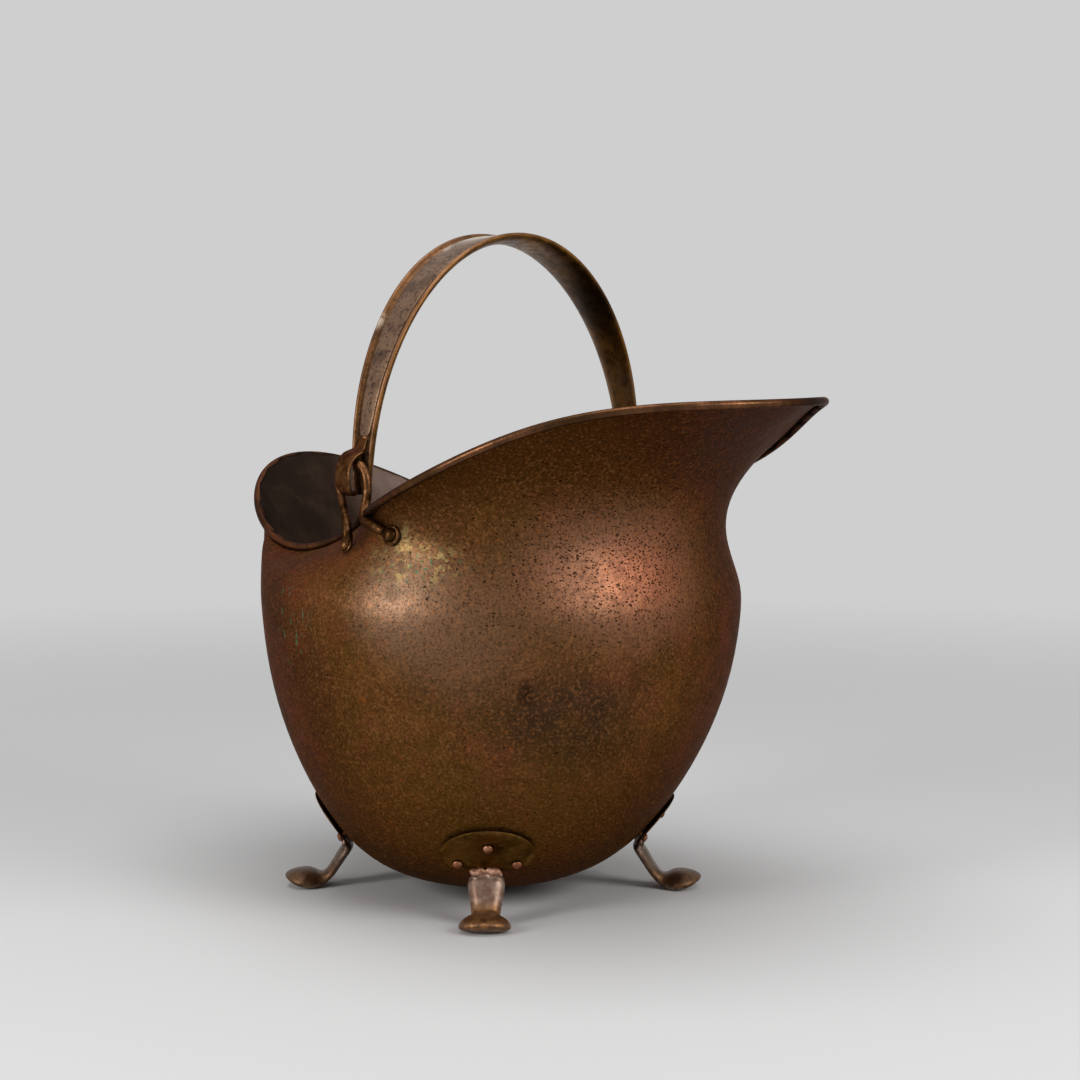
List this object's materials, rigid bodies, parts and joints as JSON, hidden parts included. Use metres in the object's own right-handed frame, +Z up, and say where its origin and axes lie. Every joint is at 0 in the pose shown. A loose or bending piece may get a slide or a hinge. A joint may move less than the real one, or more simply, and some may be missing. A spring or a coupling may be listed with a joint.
{
  "type": "coal scuttle",
  "caption": "Helmet-shaped copper coal scuttle with a wide pouring lip, a swinging bail handle and four riveted feet.",
  "frame": {"origin": "on the floor, under the middle of the whole length and on the middle plane", "axes": "+X towards the pouring lip, +Y to the left, +Z up"},
  "size_m": [0.4908, 0.3404, 0.4669],
  "materials": {
    "aged_copper": "aged, pitted patina",
    "handle_copper": "hand-worn patina",
    "forged_brass": "worn, forged",
    "plate_brass": "dull, hammered",
    "foot_copper": "worn, brazed",
    "iron_wire": "black, drawn"
  },
  "bodies": {
    "scuttle": {"body_shell": "aged_copper", "rim_wire": "iron_wire", "ear_left": "forged_brass", "ear_rivet_left_front": "forged_brass", "ear_rivet_left_rear": "forged_brass", "ear_right": "forged_brass", "ear_rivet_right_front": "forged_brass", "ear_rivet_right_rear": "forged_brass", "foot_plate_front_right": "plate_brass", "foot_leg_front_right": "foot_copper", "rivet_front_right_top": "plate_brass", "rivet_front_right_left": "plate_brass", "rivet_front_right_right": "plate_brass", "foot_plate_front_left": "plate_brass", "foot_leg_front_left": "foot_copper", "rivet_front_left_top": "plate_brass", "rivet_front_left_left": "plate_brass", "rivet_front_left_right": "plate_brass", "foot_plate_rear_left": "plate_brass", "foot_leg_rear_left": "foot_copper", "rivet_rear_left_top": "plate_brass", "rivet_rear_left_left": "plate_brass", "rivet_rear_left_right": "plate_brass", "foot_plate_rear_right": "plate_brass", "foot_leg_rear_right": "foot_copper", "rivet_rear_right_top": "plate_brass", "rivet_rear_right_left": "plate_brass", "rivet_rear_right_right": "plate_brass"},
    "handle": {"handle_channel": "handle_copper", "handle_strip": "handle_copper", "handle_hook_left": "forged_brass", "handle_hook_right": "forged_brass"}
  },
  "joints": [
    {"name": "handle_swing", "type": "hinge", "parent": "scuttle", "child": "handle", "pos_m": [-0.01814, 0, 0.298], "axis": [0, 1, 0], "range_deg": [-110, 80]}
  ]
}
